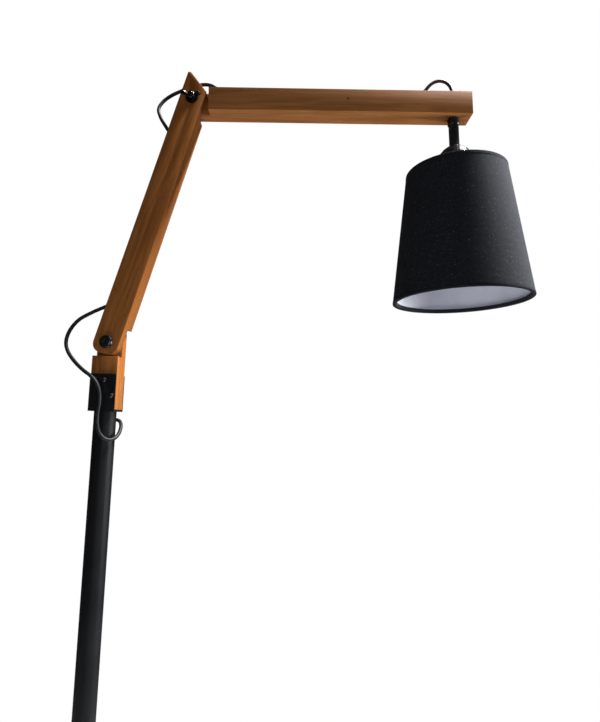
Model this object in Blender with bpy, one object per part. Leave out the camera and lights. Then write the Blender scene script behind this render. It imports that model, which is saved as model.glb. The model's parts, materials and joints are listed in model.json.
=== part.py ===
"""Adjustable-arm floor lamp: a steel pole on a round weighted base, a timber knuckle block, two timber
arms that meet in half-lap joints, and a tapered drum shade hanging from the upper arm.

Metres, +Z up. The origin is the middle of the base's underside, on the floor. The arms swing in the XZ
plane, the shade is on the +X side, and the mains lead leaves towards +Y.
"""

import math

import bmesh
import bpy
from mathutils import Matrix, Vector

# ---------------------------------------------------------------- driving sizes
GAP = 0.0003  # kept between pieces that touch
FIT = 0.0003  # radial room round bolts, tubes and cords

PIVOT_HEIGHT = 1.120  # lower pivot above the floor
LOWER_TILT = math.radians(15.1)  # lower arm from the vertical, at rest
UPPER_TILT = math.radians(1.7)  # upper arm above the horizontal, at rest

ARM_WIDTH = 0.040
ARM_DEPTH = 0.038
PIVOT_SPAN = 0.434  # lower pivot to upper pivot
UPPER_REACH = 0.478  # upper pivot to the upper arm's free end

END_BELOW = 0.019  # lower arm's rounded end below the lower pivot
END_CORNER = 0.015
BLOCK_SHOULDER = 0.0222  # below the lower pivot
BLOCK_TOP = 0.023  # tongue above the lower pivot
BLOCK_CORNER = 0.006
BLOCK_BELOW = 0.1055  # block's foot below the lower pivot
LOWER_ARM_SHOULDER = 0.0295  # lower arm's rear shoulder above the lower pivot

REAR_SHOULDER = 0.024  # lower arm's rear shoulder below the upper pivot
UPPER_SHOULDER = 0.028  # upper arm's front shoulder beside the upper pivot
TONGUE_END = 0.021  # upper arm's round tongue end
TIP_ABOVE = 0.0435  # lower arm's point above the upper pivot
MITRE_NORMAL = math.radians(53.0)  # from across the lower arm
MITRE_CLEAR = 0.002

GROOVE_WIDTH = 0.0066
GROOVE_DEPTH = 0.0063
LOWER_GROOVE = (0.050, 0.384)  # from the lower pivot, in the lower arm's outer side
UPPER_GROOVE = (0.052, 0.394)  # from the upper pivot, in the upper arm's top

BOLT_D = 0.008
BOLT_HEAD_D = 0.021
BOLT_HEAD_H = 0.005
HEX_R = 0.0034
HEX_DEPTH = 0.0028
WASHER_D = 0.0205
WASHER_H = 0.0015
WING_HUB_H = 0.009
WING_HUB_D = 0.0130
WING_SPAN = 0.033
WING_HEIGHT = 0.016
WING_THICK = 0.0022
UPPER_WING_TURN = math.radians(13)
LOWER_WING_TURN = math.radians(25)

POLE_D = 0.034
POLE_WALL = 0.0015
BRACKET_HEIGHT = 0.058
BRACKET_PLATE = 0.003
BRACKET_FLOOR = 0.003
SPIGOT_LENGTH = 0.060
SPIGOT_WALL = 0.002
SCREW_HEAD_D = 0.0075
SCREW_HEAD_H = 0.0018
SCREW_D = 0.0036
SCREW_LENGTH = 0.013

BASE_D = 0.280
BASE_HEIGHT = 0.022
BASE_SHEET = 0.0015
BASE_ROUND = 0.007
PAD_D = 0.270
PAD_H = 0.0022
WEIGHT_D = 0.268
WEIGHT_H = 0.014
STUD_D = 0.010

CORD_D = 0.0058
ENTRY_BELOW = 0.1215  # pole's cord boot below the lower pivot
EXIT_HEIGHT = 0.060  # mains lead's way out of the pole
CORD_HOLE_R = 0.0045  # neck of the boot and of the strain relief, through the pole's wall
BOOT_DEPTH = 0.0090
BOOT_NECK = 0.0040  # reach into the pole
SLEEVE_NECK = 0.0060

HANGER_AT = 0.4495  # from the upper pivot along the upper arm
HANGER_LEAN = math.radians(1.8)  # the pipe's play in its hole lets the shade lean to +Y
HANGER_SWAY = math.radians(0.9)  # and to +X
HANGER_WASHER_D = 0.0200
PIPE_D = 0.010
PIPE_BORE = 0.0072
COUNTERBORE_D = 0.024
COUNTERBORE_H = 0.009
NUT_ACROSS = 0.017
NUT_H = 0.004
COLLAR_D = 0.0200
COLLAR_H = 0.012
SLEEVE_D = 0.0172
HOLDER_DROP = 0.049  # arm's underside to the lampholder cap
CAP_H = 0.038
CAP_D = 0.057
CAP_WALL = 0.0013
BODY_D = 0.040
SOCKET_D = 0.0276
LIP_R = 0.027  # lampholder's flange that the shade's hub hangs under

SHADE_DROP = 0.099  # arm's underside to the shade's top
SHADE_HEIGHT = 0.2215
SHADE_TOP_D = 0.1685
SHADE_BOTTOM_D = 0.2295
SHADE_WALL = 0.0015
WIRE_D = 0.003
TRIM_H = 0.0015
TRIM_W = 0.0024

COIL_R = 0.0346  # mid-turn radius of the stored lead
COIL_COLUMNS = 5
COIL_LAYERS = 2
COIL_LIFT = 0.0015
COIL_PITCH = 0.0059
COIL_LAST_TURNS = 3.5  # turns outwards before the lead leaves the coil
COIL_AT = (0.0464, 0.312)

SWITCH_L = 0.062
SWITCH_W = 0.028
SWITCH_H = 0.018
SWITCH_AT = (0.0, 0.226)
PLUG_AT = (0.0899, 0.212)
PLUG_L = 0.038
PLUG_W = 0.026
PLUG_T = 0.0135
PIN_R = 0.0020
PIN_L = 0.0190
PIN_SPACING = 0.0186

ROUND = 32  # sides of a turned piece
SMALL_ROUND = 16

# ---------------------------------------------------------------- sizes that follow
HALF_DEPTH = ARM_DEPTH / 2
HALF_WIDTH = ARM_WIDTH / 2
LAP_GAP = GAP / 2
LEAN_GAP = 0.0007  # room for leaning pieces against the upper arm
LEAN_FIT = 0.0002  # kept between the leaning pipe and its hole
CORD_R = CORD_D / 2
BOOT_MOUTH_Y = POLE_D / 2 + (GAP + BOOT_DEPTH) / 2 + 0.0004
GROOVE_CENTRE = HALF_WIDTH - CORD_R - 0.0002
BOLT_HOLE_D = BOLT_D + 2 * FIT
BLOCK_FOOT_Z = PIVOT_HEIGHT - BLOCK_BELOW
BRACKET_UNDER_Z = BLOCK_FOOT_Z - GAP - BRACKET_FLOOR
POLE_TOP_Z = BRACKET_UNDER_Z - GAP
POLE_FOOT_Z = BASE_HEIGHT + GAP
POLE_BORE_D = POLE_D - 2 * POLE_WALL
WEIGHT_Z = PAD_H + GAP
HANGER_TOP_Z = HALF_WIDTH - COUNTERBORE_H
HANGER_PLAY = (ARM_WIDTH - COUNTERBORE_H) * math.hypot(math.tan(HANGER_LEAN), math.tan(HANGER_SWAY))
HANGER_HOLE_D = PIPE_D + 2 * (HANGER_PLAY + LEAN_FIT)
NUT_CORNER_R = NUT_ACROSS / 2 / math.cos(math.pi / 6)
UNDERSIDE = -HALF_WIDTH
FAR = 0.2  # a cutter's reach past whatever it cuts


# ---------------------------------------------------------------- tools
def clear_scene():
    for old in list(bpy.data.objects):
        bpy.data.objects.remove(old, do_unlink=True)


def make_material(name, colour, roughness, metallic=0.0):
    mat = bpy.data.materials.new(name)
    mat.use_nodes = True
    shader = mat.node_tree.nodes["Principled BSDF"]
    shader.inputs["Base Color"].default_value = (*colour, 1.0)
    shader.inputs["Roughness"].default_value = roughness
    shader.inputs["Metallic"].default_value = metallic
    return mat


def make_empty(name, matrix, parent=None):
    empty = bpy.data.objects.new(name, None)
    bpy.context.collection.objects.link(empty)
    empty.parent = parent
    empty.matrix_basis = matrix
    return empty


def add_object(name, bm, mat, parent=None, matrix=None, smooth=True):
    bmesh.ops.recalc_face_normals(bm, faces=bm.faces)
    mesh = bpy.data.meshes.new(name)
    bm.to_mesh(mesh)
    bm.free()
    if smooth:
        mesh.shade_smooth()
        mesh.set_sharp_from_angle(angle=math.radians(35))
    obj = bpy.data.objects.new(name, mesh)
    bpy.context.collection.objects.link(obj)
    if mat is not None:
        mesh.materials.append(mat)
    obj.parent = parent
    obj.matrix_basis = matrix or Matrix.Identity(4)
    return obj


def turned(profile, sides=ROUND, closed=True):
    """A body turned about Z from (radius, height) points: a ring if closed, else from axis to axis."""
    bm = bmesh.new()
    verts = [bm.verts.new((r, 0, z)) for r, z in profile]
    edges = [bm.edges.new(pair) for pair in zip(verts, verts[1:])]
    if closed:
        edges.append(bm.edges.new((verts[-1], verts[0])))
    bmesh.ops.spin(
        bm, geom=verts + edges, cent=(0, 0, 0), axis=(0, 0, 1), angle=math.tau, steps=sides, use_merge=True
    )
    bmesh.ops.remove_doubles(bm, verts=bm.verts, dist=1e-6)
    return bm


def ring(outer_r, inner_r, low, high, sides=ROUND):
    return turned([(outer_r, high), (outer_r, low), (inner_r, low), (inner_r, high)], sides)


def rod(radius, low, high, sides=SMALL_ROUND):
    bm = bmesh.new()
    middle = Matrix.Translation((0, 0, (low + high) / 2))
    bmesh.ops.create_cone(
        bm, cap_ends=True, segments=sides, radius1=radius, radius2=radius, depth=high - low, matrix=middle
    )
    return bm


def torus(major, minor, height, sides=40, section=6):
    turns = [math.tau * k / section for k in range(section)]
    return turned([(major + minor * math.cos(a), height - minor * math.sin(a)) for a in turns], sides)


def rounded(corners, steps=6):
    """An outline from (x, z, corner radius), each corner rounded by its own arc."""
    outline = []
    count = len(corners)
    for k, (x, z, radius) in enumerate(corners):
        here = Vector((x, z))
        back = (Vector(corners[k - 1][:2]) - here).normalized()
        ahead = (Vector(corners[(k + 1) % count][:2]) - here).normalized()
        if radius <= 0:
            outline.append(here)
            continue
        half = back.angle(ahead) / 2
        centre = here + (back + ahead).normalized() * (radius / math.sin(half))
        first = here + back * (radius / math.tan(half)) - centre
        last = here + ahead * (radius / math.tan(half)) - centre
        sweep = first.angle_signed(last)
        for step in range(steps + 1):
            turn = Matrix.Rotation(-sweep * step / steps, 2)
            outline.append(centre + turn @ first)
    return outline


def prism(outline, low, high):
    """An outline in XZ, drawn out along Y."""
    bm = bmesh.new()
    face = bm.faces.new([bm.verts.new((x, low, z)) for x, z in outline])
    drawn = bmesh.ops.extrude_face_region(bm, geom=[face])
    moved = [v for v in drawn["geom"] if isinstance(v, bmesh.types.BMVert)]
    bmesh.ops.translate(bm, verts=moved, vec=(0, high - low, 0))
    return bm


def block(x, y, z):
    """A box from its (low, high) along each axis."""
    return prism([(x[0], z[0]), (x[1], z[0]), (x[1], z[1]), (x[0], z[1])], y[0], y[1])


def boolean(obj, bm, operation="DIFFERENCE", matrix=None):
    """Cuts a closed body from obj, or joins it on; the body is given in obj's own axes."""
    place = obj.matrix_basis @ (matrix or Matrix.Identity(4))
    tool = add_object(obj.name + "_tool", bm, None, obj.parent, place)
    tool.hide_render = True
    tool.display_type = "WIRE"
    step = obj.modifiers.new("cut", "BOOLEAN")
    step.operation = operation
    step.solver = "EXACT"
    step.object = tool


def along_y(at=(0, 0, 0)):
    """Turned bodies stand along Z; this lays their +Z along -Y, towards the front."""
    return Matrix.Translation(at) @ Matrix.Rotation(math.radians(90), 4, "X")


def smooth_route(route, spacing):
    """Points a spacing apart on a smooth curve through the route's own points."""
    pts = [Vector(p) for p in route]
    pts = [2 * pts[0] - pts[1], *pts, 2 * pts[-1] - pts[-2]]
    fine = []
    for p0, p1, p2, p3 in zip(pts, pts[1:], pts[2:], pts[3:]):
        k0, k1, k2 = ((b - a).length ** 0.5 for a, b in ((p0, p1), (p1, p2), (p2, p3)))
        slope1 = ((p1 - p0) / k0 - (p2 - p0) / (k0 + k1) + (p2 - p1) / k1) * k1
        slope2 = ((p2 - p1) / k1 - (p3 - p1) / (k1 + k2) + (p3 - p2) / k2) * k1
        for step in range(16):
            t = step / 16
            a, b = 2 * t**3 - 3 * t**2 + 1, t**3 - 2 * t**2 + t
            fine.append(a * p1 + b * slope1 + (1 - a) * p2 + (t**3 - t**2) * slope2)
    fine.append(pts[-2])
    lengths = [0.0]
    for a, b in zip(fine, fine[1:]):
        lengths.append(lengths[-1] + (b - a).length)
    count = max(1, round(lengths[-1] / spacing))
    out, k = [], 0
    for step in range(count + 1):
        want = lengths[-1] * step / count
        while k < len(fine) - 2 and lengths[k + 1] < want:
            k += 1
        share = (want - lengths[k]) / (lengths[k + 1] - lengths[k])
        out.append(fine[k].lerp(fine[k + 1], min(max(share, 0.0), 1.0)))
    return out


def cord(name, route, mat, parent=None, spacing=2 * CORD_D):
    curve = bpy.data.curves.new(name, "CURVE")
    curve.dimensions = "3D"
    curve.bevel_depth = CORD_R
    curve.bevel_resolution = 2
    curve.use_fill_caps = True
    points = smooth_route(route, spacing)
    spline = curve.splines.new("POLY")
    spline.points.add(len(points) - 1)
    for point, place in zip(spline.points, points):
        point.co = (*place, 1.0)
    curve.materials.append(mat)
    obj = bpy.data.objects.new(name, curve)
    bpy.context.collection.objects.link(obj)
    obj.parent = parent
    return obj


# ---------------------------------------------------------------- frames
def lower_frame():
    return Matrix.Translation((0, 0, PIVOT_HEIGHT)) @ Matrix.Rotation(LOWER_TILT, 4, "Y")


def upper_frame():
    """Where the upper arm sits in the lower arm's frame."""
    return Matrix.Translation((0, 0, PIVOT_SPAN)) @ Matrix.Rotation(-LOWER_TILT - UPPER_TILT, 4, "Y")


def hanger_frame():
    """The leaning pipe's frame in the upper arm's: it turns about the middle of the hole's lower mouth."""
    mouth = Matrix.Translation((HANGER_AT, 0, UNDERSIDE))
    lean = Matrix.Rotation(-HANGER_SWAY, 4, "Y") @ Matrix.Rotation(HANGER_LEAN, 4, "X")
    return mouth @ lean @ Matrix.Translation((0, 0, -UNDERSIDE))


# ---------------------------------------------------------------- base and pole
def build_base(mats):
    add_object("base_pad", rod(PAD_D / 2, 0, PAD_H, ROUND), mats["rubber"])
    nut_room = NUT_H + WASHER_H + 0.004
    high, room_r, hole_r = WEIGHT_Z + WEIGHT_H, 0.018, STUD_D / 2 + FIT
    weight_r = WEIGHT_D / 2
    weight = [(weight_r, high), (weight_r, WEIGHT_Z), (room_r, WEIGHT_Z), (room_r, WEIGHT_Z + nut_room),
              (hole_r, WEIGHT_Z + nut_room), (hole_r, high)]
    add_object("base_weight", turned(weight), mats["iron"])
    top, sheet, bend = BASE_HEIGHT, BASE_SHEET, BASE_ROUND
    turns = [math.radians(90 * k / 3) for k in range(4)]
    outer_r = BASE_D / 2
    flat_r, inner = outer_r - bend, bend - sheet
    outside = [(flat_r + bend * math.sin(a), top - bend + bend * math.cos(a)) for a in turns]
    inside = [(flat_r + inner * math.sin(a), top - bend + inner * math.cos(a)) for a in reversed(turns)]
    foot = 0.0008
    cover = [(hole_r, top), *outside, (outer_r, foot), (outer_r - sheet, foot), *inside]
    cover.append((hole_r, top - sheet))
    add_object("base_cover", turned(cover, 40), mats["black_steel"])
    seat = WEIGHT_Z + nut_room - GAP
    add_object("base_washer", ring(0.015, STUD_D / 2 + FIT, seat - WASHER_H, seat), mats["zinc"])
    nut_top = seat - WASHER_H - GAP
    nut = add_object("base_nut", rod(NUT_CORNER_R, nut_top - NUT_H, nut_top, 6), mats["zinc"])
    boolean(nut, rod(STUD_D / 2 + FIT, -FAR, FAR))
    plug_top = POLE_FOOT_Z + 0.022
    stud_low = nut_top - NUT_H - 0.0015
    plug = [(0, plug_top), (POLE_BORE_D / 2 - FIT, plug_top), (POLE_BORE_D / 2 - FIT, POLE_FOOT_Z)]
    plug += [(STUD_D / 2, POLE_FOOT_Z), (STUD_D / 2, stud_low), (0, stud_low)]
    add_object("pole_foot_plug", turned(plug, 32, closed=False), mats["zinc"])


def build_pole(mats):
    tube = ring(POLE_D / 2, POLE_BORE_D / 2, POLE_FOOT_Z, POLE_TOP_Z)
    pole = add_object("pole", tube, mats["black_steel"])
    entry_z = PIVOT_HEIGHT - ENTRY_BELOW
    for z in (entry_z, EXIT_HEIGHT):
        boolean(pole, rod(CORD_HOLE_R + FIT, -FAR, 0), matrix=along_y((0, 0, z)))
    low, high = POLE_FOOT_Z, POLE_FOOT_Z + 0.016
    inner, lip = POLE_D / 2 + FIT, 0.003
    collar = [(inner, high), (inner + lip - 0.0012, high), (inner + lip, high - 0.0012)]
    collar += [(inner + lip, low + 0.004), (inner + 2 * lip, low), (inner, low)]
    add_object("pole_foot_collar", turned(collar), mats["black_steel"])
    build_boot(mats, entry_z)
    build_strain_relief(mats)


def build_boot(mats, entry_z):
    """Rubber boot behind the pole's top: the cord enters it from +X and turns into the pole."""
    near, far = POLE_D / 2 + GAP, POLE_D / 2 + BOOT_DEPTH
    outline = rounded([(-0.008, entry_z - 0.006, 0.003), (0.009, entry_z - 0.006, 0.001),
                       (0.009, entry_z + 0.006, 0.001), (-0.008, entry_z + 0.006, 0.003)], 3)
    neck = POLE_D / 2 - BOOT_NECK
    boot = add_object("pole_cord_boot", prism(outline, neck, far), mats["rubber"])
    boolean(boot, rod(near, entry_z - 0.02, entry_z + 0.02, ROUND))
    boolean(boot, rod(CORD_HOLE_R, -far + 0.002, -neck), "UNION", along_y((0, 0, entry_z)))
    mouth = Matrix.Translation((0.004, BOOT_MOUTH_Y, entry_z)) @ Matrix.Rotation(math.pi / 2, 4, "Y")
    boolean(boot, rod(CORD_R + 0.0007, 0, 0.02), matrix=mouth)


def build_strain_relief(mats):
    """Tapered rubber sleeve where the mains lead leaves the pole's foot, pointing to +Y."""
    start, length = POLE_D / 2 + GAP, 0.026
    steps = [(0.0072, 0.0), (0.0072, 0.0025), (0.0052, 0.0035), (CORD_R + GAP + 0.0010, length)]
    bore, neck = CORD_R + GAP, -(POLE_D / 2 - SLEEVE_NECK)
    outside = [(r, -(start + s)) for r, s in steps]
    profile = [(bore, neck), (CORD_HOLE_R, neck), (CORD_HOLE_R, -start + 0.0001), *outside,
               (bore, -(start + length))]
    place = along_y((0, 0, EXIT_HEIGHT))
    add_object("mains_strain_relief", turned(profile, 24), mats["rubber"], None, place)


# ---------------------------------------------------------------- bracket
def screw_shape():
    head_r, shank_r = SCREW_HEAD_D / 2, SCREW_D / 2
    tip = SCREW_LENGTH - SCREW_D / 2
    rise = SCREW_HEAD_H
    profile = [(0, rise), (head_r * 0.55, rise * 0.9), (head_r, rise * 0.25), (head_r, 0)]
    profile += [(shank_r, 0), (shank_r, -tip), (0, -SCREW_LENGTH)]
    return turned(profile, 12, closed=False)


def screw_place(side, x, outer_y, z):
    """Where a bracket screw seats: on the front plate for side 1, on the rear one for side -1."""
    return Matrix.Rotation(0 if side > 0 else math.pi, 4, "Z") @ along_y((side * x, -outer_y - GAP, z))


def build_bracket(mats):
    half_w = HALF_WIDTH
    inner_y = HALF_DEPTH + GAP
    outer_y = inner_y + BRACKET_PLATE
    floor_top = BLOCK_FOOT_Z - GAP
    plate_top = BLOCK_FOOT_Z + BRACKET_HEIGHT - BRACKET_FLOOR
    bracket = add_object(
        "pole_bracket",
        block((-half_w, half_w), (-outer_y, outer_y), (BRACKET_UNDER_Z, plate_top)),
        mats["black_steel"],
    )
    boolean(bracket, block((-FAR, FAR), (-inner_y, inner_y), (floor_top, FAR + PIVOT_HEIGHT)))
    spigot_r = POLE_BORE_D / 2 - FIT
    spigot_low = BRACKET_UNDER_Z - SPIGOT_LENGTH
    boolean(bracket, ring(spigot_r, spigot_r - SPIGOT_WALL, spigot_low, floor_top - 0.001), "UNION")
    entry_z = PIVOT_HEIGHT - ENTRY_BELOW
    boolean(bracket, rod(CORD_HOLE_R + FIT, -FAR, 0), matrix=along_y((0, 0, entry_z)))
    places = [(0.002, 0.060), (0.0146, 0.084)]
    for side, word in ((1, "front"), (-1, "rear")):
        for number, (x, below) in enumerate(places, 1):
            face = screw_place(side, x, outer_y, PIVOT_HEIGHT - below)
            boolean(bracket, rod(SCREW_D / 2 + FIT, -0.01, 0.01, 12), matrix=face)
            add_object(f"bracket_screw_{word}_{number}", screw_shape(), mats["screw"], None, face)
    return places, outer_y


# ---------------------------------------------------------------- timber
def build_knuckle_block(mats, parent, places, outer_y):
    half = HALF_WIDTH
    outline = rounded([(-half, -BLOCK_BELOW, 0), (half, -BLOCK_BELOW, 0),
                       (half, BLOCK_TOP, BLOCK_CORNER), (-half, BLOCK_TOP, BLOCK_CORNER)], 4)
    body = prism(outline, -HALF_DEPTH, HALF_DEPTH)
    piece = add_object("knuckle_block", body, mats["wood"], parent, smooth=False)
    boolean(piece, block((-FAR, FAR), (-FAR, LAP_GAP), (-BLOCK_SHOULDER, FAR)))
    boolean(piece, rod(BOLT_HOLE_D / 2, -FAR, FAR), matrix=along_y())
    for side in (1, -1):
        for x, below in places:
            face = screw_place(side, x, outer_y, -below)
            boolean(piece, rod(SCREW_D / 2 + FIT, -SCREW_LENGTH - 0.001, 0.01, 12), matrix=face)
    return piece


def build_lower_arm(mats, parent):
    half, top = HALF_WIDTH, PIVOT_SPAN
    reach = UPPER_SHOULDER - MITRE_CLEAR
    across, up = math.cos(MITRE_NORMAL), math.sin(MITRE_NORMAL)
    tip_x = (reach - TIP_ABOVE * up) / across
    side_z = top + (reach - half * across) / up
    outline = rounded([(-half, -END_BELOW, END_CORNER), (half, -END_BELOW, END_CORNER), (half, side_z, 0),
                       (tip_x, top + TIP_ABOVE, 0), (-half, top + TIP_ABOVE, 0.001)])
    body = prism(outline, -HALF_DEPTH, HALF_DEPTH)
    arm = add_object("lower_arm", body, mats["wood"], parent, smooth=False)
    boolean(arm, block((-FAR, FAR), (-LAP_GAP, FAR), (-FAR, LOWER_ARM_SHOULDER)))
    boolean(arm, block((-FAR, FAR), (-LAP_GAP, FAR), (top - REAR_SHOULDER, top + FAR)))
    boolean(arm, rod(BOLT_HOLE_D / 2, -FAR, FAR), matrix=along_y())
    boolean(arm, rod(BOLT_HOLE_D / 2, -FAR, FAR), matrix=along_y((0, 0, top)))
    width = GROOVE_WIDTH / 2
    boolean(arm, block((-FAR, -half + GROOVE_DEPTH), (-width, width), LOWER_GROOVE))
    return arm


def build_upper_arm(mats, parent):
    half, end = HALF_WIDTH, TONGUE_END
    outline = rounded([(-end, -half, half - 0.0002), (UPPER_REACH, -half, 0), (UPPER_REACH, half, 0),
                       (-end, half, half - 0.0002)], 8)
    body = prism(outline, -HALF_DEPTH, HALF_DEPTH)
    arm = add_object("upper_arm", body, mats["wood"], parent, smooth=False)
    boolean(arm, block((-FAR, UPPER_SHOULDER), (-FAR, LAP_GAP), (-FAR, FAR)))
    boolean(arm, rod(BOLT_HOLE_D / 2, -FAR, FAR), matrix=along_y())
    width = GROOVE_WIDTH / 2
    boolean(arm, block(UPPER_GROOVE, (-width, width), (half - GROOVE_DEPTH, FAR)))
    hanger = Matrix.Translation((HANGER_AT, 0, 0))
    boolean(arm, rod(HANGER_HOLE_D / 2, -FAR, FAR, 28), matrix=hanger)
    boolean(arm, rod(COUNTERBORE_D / 2, HANGER_TOP_Z, FAR, 28), matrix=hanger)
    return arm


# ---------------------------------------------------------------- pivots
def bolt_shape(length):
    """Domed head with a hexagon socket at z > 0, plain shank below."""
    head_r, rise, shank_r = BOLT_HEAD_D / 2, BOLT_HEAD_H, BOLT_D / 2
    profile = [(0, rise), (head_r * 0.62, rise), (head_r * 0.9, rise * 0.72), (head_r, rise * 0.35)]
    profile += [(head_r, 0), (shank_r, 0), (shank_r, -length), (0, -length)]
    return turned(profile, 28, closed=False)


def add_bolt(name, length, mats, parent, matrix):
    bolt = add_object(name, bolt_shape(length), mats["dark_metal"], parent, matrix)
    boolean(bolt, rod(HEX_R, BOLT_HEAD_H - HEX_DEPTH, BOLT_HEAD_H + 0.01, 6))


def wing_outline(side):
    half_span, hub = WING_SPAN / 2, WING_HUB_D / 2 - 0.0018
    low, high = 0.0035, WING_HEIGHT
    corners = [(hub, low, 0), (half_span * 0.62, low + 0.001, 0.003), (half_span, high * 0.62, 0.003),
               (half_span - 0.0005, high, 0.003), (half_span * 0.62, high - 0.001, 0.003),
               (hub, WING_HUB_H - 0.001, 0)]
    return rounded([(side * x, z, r) for x, z, r in corners], 3)


def add_wing_nut(name, mats, parent, matrix):
    hub_r = WING_HUB_D / 2
    high = WING_HUB_H
    profile = [(0, high), (hub_r - 0.0014, high), (hub_r - 0.0006, high - 0.001), (hub_r, 0.002)]
    hub = turned([*profile, (hub_r, 0), (0, 0)], 24, closed=False)
    nut = add_object(name, hub, mats["dark_metal"], parent, matrix)
    for side in (1, -1):
        outline = wing_outline(side)[::side]
        boolean(nut, prism(outline, -WING_THICK / 2, WING_THICK / 2), "UNION")
    boolean(nut, rod(BOLT_D / 2 + FIT, -0.01, WING_HUB_H + 0.01))


def add_washer(name, mats, parent, matrix):
    washer = ring(WASHER_D / 2, BOLT_D / 2 + FIT, 0, WASHER_H, 24)
    add_object(name, washer, mats["dark_metal"], parent, matrix)


def build_pivot(word, mats, nut_parent, bolt_parent, at, nut_in_front, turn):
    """Through bolt and washer, with the nut's place on the front face or the rear one."""
    face = along_y((0, -HALF_DEPTH - GAP, 0))
    half_turn = Matrix.Rotation(math.pi, 4, "Z")
    front, back = Matrix.Translation(at) @ face, Matrix.Translation(at) @ half_turn @ face
    if not nut_in_front:
        front, back = back, front
    under_nut = front @ Matrix.Translation((0, 0, WASHER_H + GAP))
    add_washer(f"{word}_pivot_nut_washer", mats, nut_parent, front)
    grip = 2 * (HALF_DEPTH + GAP) + WASHER_H + GAP + WING_HUB_H + 0.002
    add_bolt(f"{word}_pivot_bolt", grip, mats, bolt_parent, back)
    return under_nut @ Matrix.Rotation(turn, 4, "Z")


# ---------------------------------------------------------------- hanger, lampholder and bulb
def build_hanger(mats, parent):
    top_seat = HANGER_TOP_Z + LEAN_GAP
    washer = ring(HANGER_WASHER_D / 2, PIPE_D / 2 + FIT, top_seat, top_seat + WASHER_H, 24)
    add_object("hanger_washer", washer, mats["zinc"], parent)
    nut_low = top_seat + WASHER_H + GAP
    hexagon = rod(NUT_CORNER_R, nut_low, nut_low + NUT_H, 6)
    nut = add_object("hanger_top_nut", hexagon, mats["zinc"], parent)
    boolean(nut, rod(PIPE_D / 2 + FIT, -FAR, FAR))
    pipe_top = nut_low + NUT_H + 0.001
    cap_top = UNDERSIDE - HOLDER_DROP
    pipe = ring(PIPE_D / 2, PIPE_BORE / 2, cap_top - 0.008, pipe_top, 24)
    add_object("hanger_pipe", pipe, mats["zinc"], parent)
    collar_low = UNDERSIDE - COLLAR_H
    bore, outer, edge = PIPE_D / 2 + FIT, COLLAR_D / 2, 0.001
    collar = [(bore, UNDERSIDE - LEAN_GAP), (outer, UNDERSIDE - LEAN_GAP), (outer, collar_low + edge),
              (outer - edge, collar_low), (bore, collar_low)]
    add_object("hanger_collar", turned(collar, 28), mats["black_steel"], parent)
    sleeve = ring(SLEEVE_D / 2, bore, cap_top + GAP, collar_low - GAP, 28)
    add_object("hanger_sleeve", sleeve, mats["black_steel"], parent)


def build_lampholder(mats, parent):
    top = UNDERSIDE - HOLDER_DROP
    full = CAP_D / 2
    steps = [(0.30, 0.0), (0.35, 0.0012), (0.53, 0.0045), (0.74, 0.009), (0.89, 0.014), (0.98, 0.020)]
    steps += [(1.0, 0.027), (1.0, CAP_H)]
    outside = [(full * share, top - drop) for share, drop in steps]
    inside = [(r - CAP_WALL, z) for r, z in reversed(outside[2:])]
    inside.append((full * 0.35, top - CAP_WALL - 0.0015))
    bore = PIPE_D / 2 + FIT
    cap = [(bore, top), *outside, *inside, (bore, top - CAP_WALL)]
    add_object("lampholder_cap", turned(cap, 32), mats["gloss_black"], parent)
    nut_top = top - CAP_WALL - 0.0015 - GAP
    hexagon = rod(0.0080, nut_top - 0.003, nut_top, 6)
    lock = add_object("lampholder_lock_nut", hexagon, mats["zinc"], parent)
    boolean(lock, rod(bore, -FAR, FAR))
    body_r, socket_r = BODY_D / 2, SOCKET_D / 2
    seat_r = full - CAP_WALL - 0.0005
    flange = UNDERSIDE - SHADE_DROP - 0.007
    body_top, body_low = top - 0.014, flange - 0.016
    seat_top, seat_low = top - 0.029, top - CAP_H - 0.003
    lip_low, room_top = flange - 0.003, body_top - 0.019
    body = [(0, body_top), (body_r, body_top), (body_r, seat_top), (seat_r, seat_top), (seat_r, seat_low),
            (body_r, seat_low), (body_r, flange), (LIP_R, flange), (LIP_R, lip_low), (body_r, lip_low),
            (body_r, body_low), (socket_r, body_low), (socket_r, room_top), (0, room_top)]
    add_object("lampholder_body", turned(body, 28, closed=False), mats["gloss_black"], parent)
    contact = room_top - GAP
    add_object("lampholder_contact", rod(0.006, contact - 0.0012, contact), mats["brass"], parent)
    hub_top = lip_low - GAP
    hub_low = hub_top - 0.0028
    ring_top = hub_low - GAP
    ring_nut = ring(LIP_R + 0.001, body_r + GAP, ring_top - 0.006, ring_top, 36)
    add_object("shade_ring_nut", ring_nut, mats["gloss_black"], parent)
    build_bulb(mats, parent, contact - 0.0012 - GAP, body_low - 0.001)
    return hub_top, hub_low, body_r + GAP


def build_bulb(mats, parent, top, neck_low):
    cap_low = top - 0.024
    cap_r = SOCKET_D / 2 - 0.0006
    cap = [(0, top), (0.005, top), (cap_r, top - 0.004), (cap_r, cap_low), (0, cap_low)]
    add_object("bulb_cap", turned(cap, 28, closed=False), mats["zinc"], parent)
    radius, neck = 0.030, 0.0125
    start = cap_low - GAP
    first = math.asin(neck * 1.1 / radius)
    centre = neck_low - radius * math.cos(first)
    turns = [first + (math.pi - first) * k / 10 for k in range(10)]
    globe = [(radius * math.sin(a), centre + radius * math.cos(a)) for a in turns]
    glass = [(0, start), (neck, start), (neck, neck_low + 0.003), *globe, (0, centre - radius)]
    add_object("bulb_glass", turned(glass, 28, closed=False), mats["opal"], parent)


# ---------------------------------------------------------------- shade
def shade_radius(drop):
    share = drop / SHADE_HEIGHT
    return (SHADE_TOP_D + (SHADE_BOTTOM_D - SHADE_TOP_D) * share) / 2


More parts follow.
